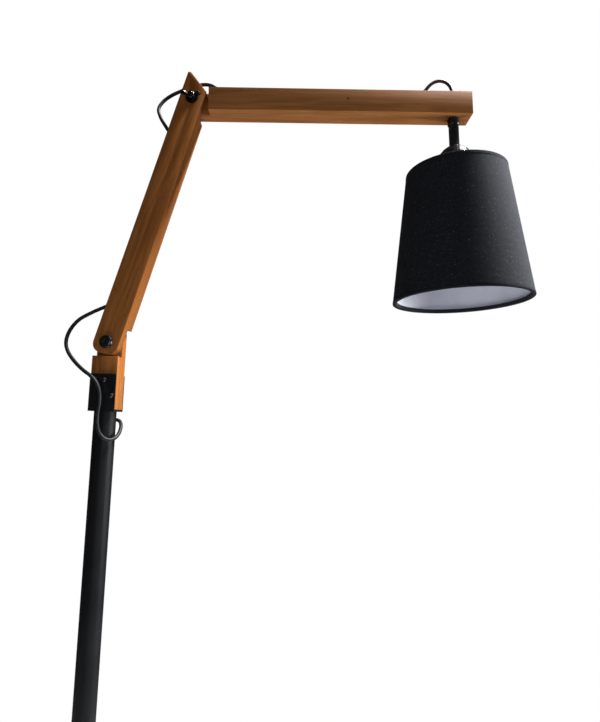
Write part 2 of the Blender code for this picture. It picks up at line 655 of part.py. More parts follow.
def build_shade(mats, parent, hub_top, hub_low, hub_bore):
    top = UNDERSIDE - SHADE_DROP
    low = top - SHADE_HEIGHT
    r_top, r_low, wall = shade_radius(0), shade_radius(SHADE_HEIGHT), SHADE_WALL
    shell = [(r_top, top), (r_low, low), (r_low - wall, low), (r_top - wall, top)]
    add_object("shade_shell", turned(shell, 48), mats["shade_fabric"], parent)
    lip = TRIM_W - wall
    half_lip = lip / 2
    rims = (("shade_top_trim", r_top, top + GAP), ("shade_bottom_trim", r_low, low - GAP - TRIM_H))
    for name, radius, base in rims:
        trim = ring(radius + half_lip, radius - wall - half_lip, base, base + TRIM_H, 48)
        add_object(name, trim, mats["shade_trim"], parent)
    inset = WIRE_D / 2 + GAP + 0.0003
    ring_drop = WIRE_D
    ring_r = shade_radius(ring_drop) - wall - inset
    rim_wire = torus(ring_r, WIRE_D / 2, top - ring_drop)
    carrier = add_object("shade_carrier", rim_wire, mats["white_wire"], parent)
    boolean(carrier, ring(LIP_R, hub_bore, hub_low, hub_top, 36), "UNION")
    hub_z = (hub_top + hub_low) / 2
    for number in range(3):
        turn = Matrix.Rotation(math.radians(90 + 120 * number), 4, "Z")
        start, end = Vector((LIP_R - 0.0025, 0, hub_z)), Vector((ring_r, 0, top - ring_drop))
        lean = (end - start).to_track_quat("Z", "Y").to_matrix().to_4x4()
        place = turn @ Matrix.Translation(start) @ lean
        boolean(carrier, rod(0.0012, 0, (end - start).length, 8), "UNION", place)
    foot_drop = SHADE_HEIGHT - WIRE_D
    foot_r = shade_radius(foot_drop) - wall - inset - 0.0003
    foot_wire = torus(foot_r, WIRE_D / 2, top - foot_drop)
    add_object("shade_bottom_wire", foot_wire, mats["white_wire"], parent)


# ---------------------------------------------------------------- the cord inside and outside the lamp
def side_of_lower_arm(frame, along, out=0.0):
    return frame @ Vector((-GROOVE_CENTRE - out, 0, along))


def build_cords(mats, lower, upper):
    """One flexible cord: mains lead, pole, loop, lower arm, loop, upper arm, arc, hanger pipe."""
    mat = mats["cord"]
    split = (0.081, 0.354)
    low_frame, up_frame = lower_frame(), lower_frame() @ upper_frame()
    cord("cord_in_lower_arm", [(-GROOVE_CENTRE, 0, z) for z in split], mat, lower, 0.3)
    run = (0.084, 0.366)
    cord("cord_in_upper_arm", [(x, 0, GROOVE_CENTRE) for x in run], mat, upper, 0.3)

    pivot = Vector((0, 0, PIVOT_HEIGHT))
    lower_loop = [(-0.0045, -0.0003, 0.0645), (-0.012, -0.0008, 0.060), (-0.021, -0.0015, 0.0555),
                  (-0.032, -0.003, 0.0493), (-0.0495, -0.007, 0.0365), (-0.0594, -0.011, 0.0213),
                  (-0.0634, -0.014, 0.0078), (-0.063, -0.017, -0.0055), (-0.0572, -0.020, -0.0185),
                  (-0.046, -0.023, -0.0321), (-0.031, -0.0257, -0.0455), (-0.0188, -0.0266, -0.0541),
                  (-0.0105, -0.0268, -0.062), (-0.0048, -0.0268, -0.0721), (-0.0019, -0.0268, -0.0839),
                  (-0.0015, -0.0268, -0.0965), (-0.0025, -0.0265, -0.106), (-0.0033, -0.0258, -0.1184),
                  (-0.0026, -0.0250, -0.1306), (0.0007, -0.0243, -0.1415), (0.0071, -0.0230, -0.1495),
                  (0.0146, -0.0190, -0.1528), (0.0205, -0.0125, -0.1505), (0.0234, -0.0035, -0.1446),
                  (0.0234, 0.0060, -0.1368), (0.0212, 0.0145, -0.1292), (0.0172, 0.0202, -0.1238),
                  (0.0122, 0.0220, -0.1217)]
    route = [side_of_lower_arm(low_frame, split[0] - GAP), side_of_lower_arm(low_frame, split[0] - 0.012)]
    route += [pivot + Vector(p) for p in lower_loop]
    route.append(Vector((0.0045, BOOT_MOUTH_Y, PIVOT_HEIGHT - ENTRY_BELOW)))
    cord("cord_loop_lower", route, mat)

    hinge = up_frame.translation
    upper_loop = [(-0.0440, 0.0003, -0.0442), (-0.0546, 0.001, -0.0269), (-0.0598, 0.003, -0.0096),
                  (-0.0528, 0.006, 0.0072), (-0.0400, 0.008, 0.0200), (-0.0250, 0.009, 0.0292),
                  (-0.0087, 0.0095, 0.0378), (0.0100, 0.0085, 0.0424), (0.0208, 0.006, 0.0415),
                  (0.0300, 0.003, 0.0374), (0.0390, 0.001, 0.0312),
                  (0.053, 0.0002, 0.0276), (0.063, 0.0, 0.0215)]
    route = [side_of_lower_arm(low_frame, split[1] + GAP), side_of_lower_arm(low_frame, split[1] + 0.012)]
    route += [hinge + Vector(p) for p in upper_loop]
    route += [up_frame @ Vector((run[0] - back, 0, GROOVE_CENTRE)) for back in (0.010, GAP)]
    cord("cord_loop_upper", route, mat)

    arc = [(run[1] + GAP, 0, GROOVE_CENTRE), (0.378, 0, GROOVE_CENTRE), (0.389, 0, 0.0193),
           (0.3965, 0, 0.0258), (0.4035, 0, 0.0342), (0.4115, 0, 0.0435), (0.421, 0, 0.0497),
           (0.4310, 0, 0.0512), (0.4405, 0, 0.0478), (0.4468, 0, 0.0402)]
    cord_foot = UNDERSIDE - HOLDER_DROP - 0.0095
    arc += [hanger_frame() @ Vector((0, 0, z)) for z in (0.030, 0.020, -0.020, cord_foot)]
    cord("cord_arc", arc, mat, upper)

    entry_z = PIVOT_HEIGHT - ENTRY_BELOW
    inside = [(0, 0.0105, entry_z), (0, 0.0085, entry_z - 0.001), (0, 0.003, entry_z - 0.0055),
              (0, 0, entry_z - 0.014), (0, 0, entry_z - 0.030), (0, 0, EXIT_HEIGHT + 0.040),
              (0, 0.0003, EXIT_HEIGHT + 0.022), (0, 0.0024, EXIT_HEIGHT + 0.0105),
              (0, 0.0056, EXIT_HEIGHT + 0.0030), (0, 0.0080, EXIT_HEIGHT + 0.0006)]
    cord("cord_in_pole", inside, mat, None, 0.018)
    build_mains_lead(mats)


def build_mains_lead(mats):
    mat = mats["cord"]
    floor = CORD_R + 0.0002
    on_cover = BASE_HEIGHT + CORD_R + 0.0005
    edge = BASE_D / 2
    switch_x, switch_y = SWITCH_AT
    switch_mid = SWITCH_H / 2
    first = [(0, 0.0120, EXIT_HEIGHT), (0, 0.030, EXIT_HEIGHT), (0, 0.045, EXIT_HEIGHT),
             (0, 0.058, 0.0560), (0, 0.072, 0.0470), (0, 0.088, 0.0355), (0, 0.104, 0.0283),
             (0, 0.120, on_cover), (0, edge - 0.006, on_cover), (0, edge + 0.007, on_cover - 0.0020),
             (0, edge + 0.020, on_cover - 0.0085), (0, edge + 0.034, switch_mid + 0.0015),
             (0, switch_y - SWITCH_L / 2 - GAP, switch_mid)]
    cord("mains_lead_to_switch", first, mat)

    inner_turn = COIL_R - (COIL_COLUMNS - 1) * COIL_PITCH / 2
    first_turn = COIL_R + (COIL_COLUMNS - 1) * COIL_PITCH / 2
    last_turn = inner_turn + COIL_LAST_TURNS * COIL_PITCH
    coil_x, coil_y = COIL_AT
    half_w = COIL_COLUMNS * COIL_PITCH / 2
    clear_r = COIL_R + half_w + CORD_R
    low, high = COIL_LIFT, COIL_LIFT + COIL_LAYERS * CORD_D
    add_object("mains_coil", ring(COIL_R + half_w, COIL_R - half_w, low, high, 36), mat, None,
               Matrix.Translation((coil_x, coil_y, 0)))
    enter_x = coil_x - first_turn
    enter_y = coil_y - math.sqrt(clear_r**2 - first_turn**2) - GAP
    switch_end = switch_y + SWITCH_L / 2
    second = [(0, switch_end + GAP, switch_mid), (0, switch_end + 0.006, switch_mid - 0.0004),
              (enter_x, enter_y - 0.006, floor + COIL_LIFT + 0.0004),
              (enter_x, enter_y, floor + COIL_LIFT)]
    cord("mains_lead_to_coil", second, mat, None, 0.005)
    plug_x, plug_y = PLUG_AT
    plug_z = PLUG_T / 2 + 0.0003
    leave_x = coil_x + last_turn
    leave_y = coil_y - math.sqrt(clear_r**2 - last_turn**2) - GAP
    plug_end = plug_y + PLUG_L / 2
    leave_z = COIL_LIFT + CORD_D * 1.5
    tail = [(leave_x, leave_y, leave_z), (leave_x, leave_y - 0.010, leave_z - 0.0006),
            (plug_x, plug_end + 0.012, plug_z + 0.0004), (plug_x, plug_end + GAP, plug_z)]
    cord("mains_tail", tail, mat, None, 0.005)
    build_tie(mats, coil_x, coil_y, half_w, high)
    build_switch(mats, switch_x, switch_y)
    build_plug(mats, plug_x, plug_y, plug_z)


def build_tie(mats, coil_x, coil_y, half_w, high):
    """A strap round one place of the coil."""
    band, width = 0.0009, 0.008
    near, far = COIL_R - half_w - GAP - 0.0004, COIL_R + half_w + GAP + 0.0002
    outer = rounded([(near - band, 0.0002, 0.001), (far + band, 0.0002, 0.001),
                     (far + band, high + GAP + band, 0.001), (near - band, high + GAP + band, 0.001)], 3)
    place = Matrix.Translation((coil_x, coil_y, 0)) @ Matrix.Rotation(math.radians(60), 4, "Z")
    tie = add_object("coil_tie", prism(outer, -width / 2, width / 2), mats["rubber"], None, place)
    boolean(tie, block((near, far), (-FAR, FAR), (COIL_LIFT - GAP, high + GAP)))


def build_switch(mats, x, y):
    half_l, half_w = SWITCH_L / 2, SWITCH_W / 2
    foot, split, top = 0.0004, SWITCH_H * 0.5, SWITCH_H
    place = Matrix.Translation((x, y, 0))
    upright = Matrix.Rotation(math.radians(-90), 4, "X")
    outline = rounded([(-half_w, -half_l, 0.010), (half_w, -half_l, 0.010), (half_w, half_l, 0.010),
                       (-half_w, half_l, 0.010)], 4)
    halves = (("switch_lower_shell", foot, split - GAP / 2), ("switch_upper_shell", split + GAP / 2, top))
    for name, low, high in halves:
        shell = add_object(name, prism(outline, -high, -low), mats["matte_black"], None, place @ upright)
        back = upright.inverted()
        wall = 0.0018
        cavity_low, cavity_high = (low + wall, FAR) if low == foot else (-FAR, high - wall)
        room_w, room_l = half_w - wall, half_l - 0.008
        room = block((-room_w, room_w), (-room_l, room_l), (cavity_low, cavity_high))
        boolean(shell, room, matrix=back)
        for end in (-1, 1):
            hole = along_y((0, end * (half_l - 0.004), SWITCH_H / 2))
            boolean(shell, rod(CORD_R + GAP, -0.0035, 0.0035, 16), matrix=back @ hole)
        if high == top:
            boolean(shell, block((-0.0054, 0.0054), (-0.0100, 0.0100), (-FAR, FAR)), matrix=back)
    hinge_z = SWITCH_H - 0.003
    rocker = [(-0.0090, -0.0025, 0.001), (0.0090, -0.0025, 0.001), (0.0092, 0.0042, 0.001), (0, 0.0026, 0),
              (-0.0092, 0.0042, 0.001)]
    tilt = Matrix.Rotation(math.radians(90), 4, "Z") @ Matrix.Rotation(math.radians(-6), 4, "Y")
    hinge = make_empty("switch_hinge", Matrix.Translation((x, y, hinge_z)))
    half = 0.0050
    add_object("switch_rocker", prism(rounded(rocker, 3), -half, half), mats["matte_black"], hinge, tilt)


def build_plug(mats, x, y, z):
    """A flat two-pin plug: its pins point away from the cord, towards -Y."""
    half_l, half_w, half_t = PLUG_L / 2, PLUG_W / 2, PLUG_T / 2
    right = [(half_w, -half_l, 0.002), (half_w, -half_l + 0.014, 0.004),
             (half_w * 0.62, half_l - 0.012, 0.003), (0.0045, half_l, 0.001)]
    body = [(-px, pz, radius) for px, pz, radius in reversed(right)] + right
    place = Matrix.Translation((x, y, z))
    upright = Matrix.Rotation(math.radians(-90), 4, "X")
    shape = prism(rounded(body, 3), -half_t, half_t)
    add_object("plug_body", shape, mats["matte_black"], None, place @ upright)
    for name, side in (("plug_pin_left", -1), ("plug_pin_right", 1)):
        profile = [(0, 0), (PIN_R, 0), (PIN_R, PIN_L - 0.0015), (PIN_R * 0.6, PIN_L), (0, PIN_L)]
        pin = turned(profile, 12, closed=False)
        spot = Matrix.Translation((x + side * PIN_SPACING / 2, y - half_l - GAP, z)) @ along_y()
        add_object(name, pin, mats["brass"], None, spot)


# ---------------------------------------------------------------- the lamp
def make_materials():
    return {
        "wood": make_material("wood", (0.28, 0.13, 0.055), 0.55),
        "black_steel": make_material("black_steel", (0.018, 0.019, 0.022), 0.45, 0.6),
        "dark_metal": make_material("dark_metal", (0.03, 0.031, 0.035), 0.3, 0.9),
        "screw": make_material("screw", (0.05, 0.05, 0.055), 0.3, 0.9),
        "zinc": make_material("zinc", (0.55, 0.55, 0.56), 0.35, 1.0),
        "iron": make_material("iron", (0.08, 0.08, 0.085), 0.7, 0.8),
        "brass": make_material("brass", (0.6, 0.45, 0.2), 0.3, 1.0),
        "rubber": make_material("rubber", (0.02, 0.02, 0.02), 0.7),
        "gloss_black": make_material("gloss_black", (0.015, 0.016, 0.02), 0.15),
        "matte_black": make_material("matte_black", (0.02, 0.02, 0.02), 0.5),
        "cord": make_material("cord", (0.015, 0.015, 0.016), 0.5),
        "shade_fabric": make_material("shade_fabric", (0.02, 0.022, 0.03), 0.9),
        "shade_trim": make_material("shade_trim", (0.012, 0.013, 0.018), 0.9),
        "white_wire": make_material("white_wire", (0.8, 0.8, 0.8), 0.4),
        "opal": make_material("opal", (0.9, 0.9, 0.88), 0.3),
    }


def main():
    clear_scene()
    mats = make_materials()
    block_frame = make_empty("knuckle_frame", Matrix.Translation((0, 0, PIVOT_HEIGHT)))
    lower = make_empty("lower_joint", lower_frame())
    upper = make_empty("upper_joint", upper_frame(), lower)
    hanger = make_empty("hanger_frame", hanger_frame(), upper)

    build_base(mats)
    build_pole(mats)
    places, outer_y = build_bracket(mats)
    build_knuckle_block(mats, block_frame, places, outer_y)
    build_lower_arm(mats, lower)
    build_upper_arm(mats, upper)

    nut_place = build_pivot("lower", mats, block_frame, block_frame, (0, 0, 0), False, LOWER_WING_TURN)
    add_wing_nut("lower_wing_nut", mats, block_frame, nut_place)
    nut_place = build_pivot("upper", mats, lower, lower, (0, 0, PIVOT_SPAN), True, UPPER_WING_TURN)
    add_wing_nut("upper_wing_nut", mats, lower, nut_place)

    build_hanger(mats, hanger)
    hub_top, hub_low, hub_bore = build_lampholder(mats, hanger)
    build_shade(mats, hanger, hub_top, hub_low, hub_bore)
    build_cords(mats, lower, upper)


main()
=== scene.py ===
"""The looks of the adjustable-arm floor lamp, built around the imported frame."""

import json
import math

import bmesh
import bpy
from mathutils import Matrix, Vector


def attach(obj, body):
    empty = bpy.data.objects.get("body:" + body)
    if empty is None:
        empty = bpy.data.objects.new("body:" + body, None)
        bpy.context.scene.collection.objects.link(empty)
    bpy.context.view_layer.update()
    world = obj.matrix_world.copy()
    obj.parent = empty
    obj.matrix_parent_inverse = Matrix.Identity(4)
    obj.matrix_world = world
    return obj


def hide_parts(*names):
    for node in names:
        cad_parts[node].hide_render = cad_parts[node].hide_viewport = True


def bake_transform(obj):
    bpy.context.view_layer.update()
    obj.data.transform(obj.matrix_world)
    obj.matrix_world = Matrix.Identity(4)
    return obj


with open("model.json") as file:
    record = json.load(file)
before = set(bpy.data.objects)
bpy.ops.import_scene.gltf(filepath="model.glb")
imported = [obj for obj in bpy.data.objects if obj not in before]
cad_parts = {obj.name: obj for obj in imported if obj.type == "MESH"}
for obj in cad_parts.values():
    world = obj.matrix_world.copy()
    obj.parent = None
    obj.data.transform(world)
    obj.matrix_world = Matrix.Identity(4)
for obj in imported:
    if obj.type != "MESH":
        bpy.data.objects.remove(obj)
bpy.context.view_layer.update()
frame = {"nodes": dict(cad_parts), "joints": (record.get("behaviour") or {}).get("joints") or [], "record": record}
JOINTS = {joint["name"]: joint for joint in frame["joints"]}

# ---------------------------------------------------------------- sizes, in metres
LOWER_PIVOT = Vector(JOINTS["lower_arm_tilt"]["pos_m"])
UPPER_PIVOT = Vector(JOINTS["upper_arm_tilt"]["pos_m"])
LOWER_TILT = math.atan2(UPPER_PIVOT.x - LOWER_PIVOT.x, UPPER_PIVOT.z - LOWER_PIVOT.z)
UPPER_TILT = math.radians(1.7)
HALF_WIDTH = 0.020  # of both arms
CORD_D = 0.0058
CORD_R = CORD_D / 2
CORD_SUNK = 0.0002  # the cord's back lies this far under the arm's face, in its groove
GROOVE_CENTRE = HALF_WIDTH - CORD_R - CORD_SUNK
CORD_SPACING = 0.003  # between the points of a cord's curve
LEAD_SPACING = 0.004
POLE_D = 0.034
BOOT_REACH = 0.00505  # the boot's mouth stands this far off the pole
EXIT_HEIGHT = 0.060  # where the lead leaves the pole's foot
ENTRY_BELOW = 0.1215  # where the cord leaves the pole, below the lower pivot
LOWER_SPLIT = (0.081, 0.354)  # the groove's ends along the lower arm
UPPER_RUN = (0.084, 0.366)  # and along the upper arm
HANGER_AT = 0.4495
HANGER_LEAN = math.radians(1.8)  # to the rear
HANGER_SWAY = math.radians(0.9)  # outward along the arm
HOLDER_DROP = 0.049
HOLDER_MOUTH = 0.0095  # the cord ends this far inside the holder
GAP = 0.0003  # between the ends of two pieces of cord

SHADE_DROP = 0.099  # from the upper arm's underside to the shade
SHADE_TOP = -HALF_WIDTH - SHADE_DROP
SHADE_HEIGHT = 0.2215
SHADE_TOP_R = 0.08425
SHADE_BOTTOM_R = 0.11475
FABRIC_T = 0.0007
SHADE_SIDES = 120

FLOOR_R = 0.82
FLOOR_CLEARANCE = 0.0002  # below the lamp's pad
ROOM_LIGHT = 0.07  # brightness of the surroundings that light the lamp
BACKDROP_LIGHT = 1.0  # and of the white that the camera sees

SHARP_ANGLE = math.radians(35.0)  # edges sharper than this aren't smoothed
WOOD_EASE = 0.0009
STEEL_EASE = 0.0005
BOLT_EASE = 0.0006

BASE_HEIGHT = 0.022
BASE_R = 0.140
COIL_R = 0.0346
COIL_PITCH = 0.0059
COIL_COLUMNS = 5
COIL_LIFT = 0.0015
COIL_LAST_TURNS = 3.5
COIL_AT = (0.0464, 0.312)
SWITCH_AT = (0.0, 0.226)
SWITCH_L = 0.062
SWITCH_MID = 0.009
PLUG_AT = (0.0899, 0.212)
PLUG_L = 0.038
PLUG_MID = 0.00705

LOWER_ARM = Matrix.Translation(LOWER_PIVOT) @ Matrix.Rotation(LOWER_TILT, 4, "Y")
UPPER_ARM = Matrix.Translation(UPPER_PIVOT) @ Matrix.Rotation(-UPPER_TILT, 4, "Y")
HANGER_MOUTH = Matrix.Translation((HANGER_AT, 0, -HALF_WIDTH))
HANGER_TURN = Matrix.Rotation(-HANGER_SWAY, 4, "Y") @ Matrix.Rotation(HANGER_LEAN, 4, "X")
HANGER_IN_ARM = HANGER_MOUTH @ HANGER_TURN @ Matrix.Translation((0, 0, HALF_WIDTH))
HANGER = UPPER_ARM @ HANGER_IN_ARM
BLOCK_PLACE = Matrix.Translation(LOWER_PIVOT)
CAMERA_FROM_PIVOT = Vector((0.2823, -0.8343, -0.1204))


# ---------------------------------------------------------------- camera
def build_camera():
    """Standing a little below the lower pivot, to its right, and looking slightly up."""
    pitch, yaw, roll = math.radians(6.91), math.radians(1.69), math.radians(1.45)
    focal, sensor = 25.78, 36.0
    level = math.cos(pitch)
    forward = Vector((math.sin(yaw) * level, math.cos(yaw) * level, math.sin(pitch)))
    right = Vector((math.cos(yaw), -math.sin(yaw), 0))
    up = right.cross(forward)
    turned_right = right * math.cos(roll) + up * math.sin(roll)
    turned_up = up * math.cos(roll) - right * math.sin(roll)
    data = bpy.data.cameras.new("camera")
    data.sensor_width = sensor
    data.lens = focal
    camera = bpy.data.objects.new("camera", data)
    bpy.context.collection.objects.link(camera)
    axes = Matrix((turned_right, turned_up, -forward)).transposed().to_4x4()
    camera.matrix_world = Matrix.Translation(LOWER_PIVOT + CAMERA_FROM_PIVOT) @ axes
    bpy.context.scene.camera = camera


build_camera()


# ---------------------------------------------------------------- node helpers
class Nodes:
    """A material's node tree with its Principled shader, and short calls to add to it."""

    def __init__(self, name, colour=(0.5, 0.5, 0.5), roughness=0.5, metallic=0.0):
        self.mat = bpy.data.materials.new(name)
        self.mat.use_nodes = True
        self.tree = self.mat.node_tree
        self.shader = self.tree.nodes["Principled BSDF"]
        self.set("Base Color", (*colour, 1.0))
        self.set("Roughness", roughness)
        self.set("Metallic", metallic)

    def set(self, socket, value):
        self.shader.inputs[socket].default_value = value

    def add(self, kind, inputs=(), **settings):
        node = self.tree.nodes.new("ShaderNode" + kind)
        for key, value in settings.items():
            setattr(node, key, value)
        for key, value in dict(inputs).items():
            if isinstance(value, bpy.types.NodeSocket):
                self.tree.links.new(value, node.inputs[key])
            else:
                node.inputs[key].default_value = value
        return node

    def link(self, output, socket):
        self.tree.links.new(output, self.shader.inputs[socket])

    def coords(self, kind="Object"):
        return self.add("TexCoord").outputs[kind]

    def stretched(self, vector, scale):
        return self.add("Mapping", {"Vector": vector, "Scale": scale}).outputs["Vector"]

    def noise(self, vector, scale, detail=2.0, roughness=0.5):
        inputs = {"Vector": vector, "Scale": scale, "Detail": detail, "Roughness": roughness}
        return self.add("TexNoise", inputs).outputs["Fac"]

    def ramp(self, factor, stops):
        node = self.add("ValToRGB", {"Fac": factor})
        elements = node.color_ramp.elements
        while len(elements) < len(stops):
            elements.new(0.5)
        for element, (place, colour) in zip(elements, stops):
            element.position = place
            element.color = (*colour, 1.0)
        return node.outputs["Color"]

    def span(self, factor, low, high, source=(0.0, 1.0)):
        """The factor's source range, mapped to low..high and clamped."""
        inputs = {"Value": factor, "From Min": source[0], "From Max": source[1]}
        inputs.update({"To Min": low, "To Max": high})
        return self.add("MapRange", inputs).outputs["Result"]

    def math(self, operation, a, b):
        return self.add("Math", {0: a, 1: b}, operation=operation).outputs[0]

    def sine(self, value):
        return self.add("Math", {0: value}, operation="SINE").outputs[0]

    def mix(self, factor, a, b):
        return self.add("MixRGB", {"Fac": factor, "Color1": a, "Color2": b}).outputs["Color"]

    def bump(self, height, strength, distance):
        inputs = {"Height": height, "Strength": strength, "Distance": distance}
        self.link(self.add("Bump", inputs).outputs["Normal"], "Normal")


def grey(value):
    return (value, value, value)


def scaled(colour, factor):
    """The colour times a factor, no channel over 1."""
    return tuple(min(1.0, factor * channel) for channel in colour)


# ---------------------------------------------------------------- materials
def wood(name, place, along, dark, mid, light, knot=None):
    """Stained timber. place holds the member's own axes, and along is the grain's axis there."""
    m = Nodes(name, mid, 0.5)
    inputs = {"Vector": m.coords(), "Location": place.translation, "Rotation": place.to_euler()}
    local = m.add("Mapping", inputs, vector_type="TEXTURE").outputs["Vector"]
    figure_squeeze, fibre_squeeze, ring_count = 0.07, 0.018, 60.0
    figure = m.stretched(local, [figure_squeeze if axis == along else 1.0 for axis in "XYZ"])
    fibre = m.stretched(local, [fibre_squeeze if axis == along else 1.0 for axis in "XYZ"])
    warp = m.noise(figure, 26.0, 3.0)
    rings = m.span(m.sine(m.math("MULTIPLY", warp, ring_count)), 0.0, 1.0, (-1.0, 1.0))
    fibres = m.noise(fibre, 1500.0, 4.0, 0.62)
    streaks = m.noise(fibre, 420.0, 4.0, 0.65)
    tone = m.math("ADD", m.math("MULTIPLY", rings, 0.16), m.math("MULTIPLY", streaks, 0.60))
    tone = m.math("ADD", tone, m.math("MULTIPLY", m.noise(figure, 14.0, 2.0), 0.40))
    stops = [(0.0, dark), (0.5, mid), (1.0, light)]
    colour = m.ramp(m.span(tone, 0.0, 1.0, (0.34, 0.82)), stops)
    pores = m.span(fibres, 1.0, 0.0, (0.32, 0.42))
    colour = m.mix(m.math("MULTIPLY", pores, 0.45), colour, (*scaled(dark, 0.45), 1.0))
    if knot is not None:
        away = m.add("VectorMath", {0: local, 1: knot}, operation="DISTANCE").outputs["Value"]
        heart = m.span(away, 1.0, 0.0, (0.0012, 0.0032))
        colour = m.mix(m.math("MULTIPLY", heart, 0.85), colour, (*scaled(dark, 0.25), 1.0))
    grain = place.to_3x3() @ Vector([float(axis == along) for axis in "XYZ"])
    normal = m.add("NewGeometry").outputs["Normal"]
    facing = m.add("VectorMath", {0: normal, 1: grain}, operation="DOT_PRODUCT").outputs["Value"]
    end_grain = m.span(m.math("ABSOLUTE", facing, 0.0), 0.0, 0.72, (0.80, 0.98))
    colour = m.mix(end_grain, colour, (*scaled(dark, 0.6), 1.0))
    m.link(colour, "Base Color")
    m.link(m.span(streaks, 0.46, 0.62), "Roughness")
    relief = m.math("ADD", m.math("MULTIPLY", fibres, 0.7), m.math("MULTIPLY", rings, 0.15))
    m.bump(relief, 0.35, 0.0003)
    m.set("Specular IOR Level", 0.07)
    return m.mat


def powder_coat(name, colour, roughness):
    """Paint baked on steel: a fine orange peel, with slightly uneven gloss."""
    m = Nodes(name, colour, roughness)
    place = m.coords()
    peel = m.noise(place, 1400.0, 2.0)
    cloud = m.noise(place, 18.0, 3.0)
    m.link(m.span(cloud, roughness - 0.06, roughness + 0.08, (0.3, 0.7)), "Roughness")
    shades = [(0.3, scaled(colour, 0.85)), (0.7, scaled(colour, 1.25))]
    m.link(m.ramp(cloud, shades), "Base Color")
    m.bump(peel, 0.18, 0.0002)
    m.set("Specular IOR Level", 0.10)
    return m.mat


def metal(name, colour, roughness):
    """Bare or plated metal, with fine tool marks and a little tarnish."""
    m = Nodes(name, colour, roughness, 1.0)
    place = m.coords()
    marks = m.noise(place, 2200.0, 2.0)
    tarnish = m.noise(place, 70.0, 3.0)
    shades = [(0.32, scaled(colour, 0.72)), (0.68, scaled(colour, 1.12))]
    m.link(m.ramp(tarnish, shades), "Base Color")
    m.link(m.span(marks, roughness - 0.08, roughness + 0.14, (0.3, 0.7)), "Roughness")
    m.bump(marks, 0.12, 0.0001)
    return m.mat


def moulded(name, colour, roughness, grain, depth):
    """Plastic or rubber from a mould: a fine grain, and gloss that varies as it is handled."""
    m = Nodes(name, colour, roughness)
    place = m.coords()
    fine = m.noise(place, grain, 3.0)
    handled = m.noise(place, 45.0, 2.0)
    shades = [(0.35, scaled(colour, 0.88)), (0.65, scaled(colour, 1.2))]
    m.link(m.ramp(handled, shades), "Base Color")
    m.link(m.span(handled, roughness - 0.05, roughness + 0.06, (0.3, 0.7)), "Roughness")
    m.bump(fine, depth, 0.0001)
    return m.mat


def cast_iron(name):
    """Raw cast iron: mottled and pitted."""
    m = Nodes(name, (0.06, 0.06, 0.065), 0.75, 0.6)
    place = m.coords()
    mottle = m.noise(place, 90.0, 4.0)
    m.link(m.ramp(mottle, [(0.3, grey(0.035)), (0.7, grey(0.1))]), "Base Color")
    m.bump(m.noise(place, 420.0, 4.0, 0.7), 0.6, 0.0006)
    return m.mat


def woven(name, dark, light):
    """Cloth: warp and weft from the piece's UV map, which is in metres, with slubs along both."""
    thread = 0.0011
    m = Nodes(name, light, 0.9)
    uv = m.coords("UV")
    parts = m.add("SeparateXYZ", {"Vector": uv})
    turn = math.tau / thread
    warp = m.sine(m.math("MULTIPLY", parts.outputs["X"], turn))
    weft = m.sine(m.math("MULTIPLY", parts.outputs["Y"], turn))
    weave = m.span(m.math("MULTIPLY", warp, weft), 0.0, 1.0, (-1.0, 1.0))
    across = m.noise(m.stretched(uv, (14.0, 900.0, 1.0)), 1.0, 3.0, 0.6)
    down = m.noise(m.stretched(uv, (900.0, 14.0, 1.0)), 1.0, 3.0, 0.6)
    slubs = m.math("MULTIPLY", m.math("ADD", across, down), 0.5)
    tone = m.math("ADD", m.math("MULTIPLY", weave, 0.35), m.math("MULTIPLY", slubs, 0.9))
    colour = m.ramp(m.span(tone, 0.0, 1.0, (0.30, 0.95)), [(0.0, dark), (1.0, light)])
    cloud = m.noise(m.stretched(uv, (150.0, 150.0, 1.0)), 1.0, 4.0, 0.7)
    colour = m.mix(m.span(cloud, 0.45, 0.0, (0.35, 0.60)), colour, (*dark, 1.0))
    specks = m.noise(m.stretched(uv, (380.0, 380.0, 1.0)), 1.0, 2.0, 0.6)
    flecks = m.span(specks, 0.0, 1.0, (0.66, 0.72))
    colour = m.mix(flecks, colour, (*scaled(light, 4.5), 1.0))
    m.link(colour, "Base Color")
    m.link(m.span(slubs, 0.78, 0.96, (0.3, 0.7)), "Roughness")
    m.bump(m.math("ADD", m.math("MULTIPLY", weave, 0.6), slubs), 0.5, 0.0003)
    m.set("Sheen Weight", 0.01)
    m.set("Sheen Roughness", 0.5)
    m.set("Specular IOR Level", 0.04)
    return m.mat


def film(name, colour):
    """The shade's stiff lining: smooth laminated film with faint creases."""
    m = Nodes(name, colour, 0.55)
    uv = m.coords("UV")
    cloud = m.noise(m.stretched(uv, (30.0, 30.0, 1.0)), 1.0, 3.0)
    shades = [(0.3, scaled(colour, 0.9)), (0.7, scaled(colour, 1.06))]
    m.link(m.ramp(cloud, shades), "Base Color")
    m.link(m.span(cloud, 0.48, 0.62, (0.3, 0.7)), "Roughness")
    m.bump(m.noise(m.stretched(uv, (700.0, 700.0, 1.0)), 1.0, 2.0), 0.12, 0.0002)
    return m.mat


def sheath(name):
    """The cord's sheath: black, slightly glossy, with a faint ripple from the cores inside."""
    m = Nodes(name, (0.009, 0.009, 0.010), 0.38)
    place = m.coords()
    cloud = m.noise(place, 60.0, 3.0)
    m.link(m.ramp(cloud, [(0.35, grey(0.007)), (0.65, grey(0.012))]), "Base Color")
    m.link(m.span(cloud, 0.44, 0.56, (0.3, 0.7)), "Roughness")
    m.bump(m.noise(place, 260.0, 2.0), 0.2, 0.0003)
    m.set("Specular IOR Level", 0.14)
    return m.mat


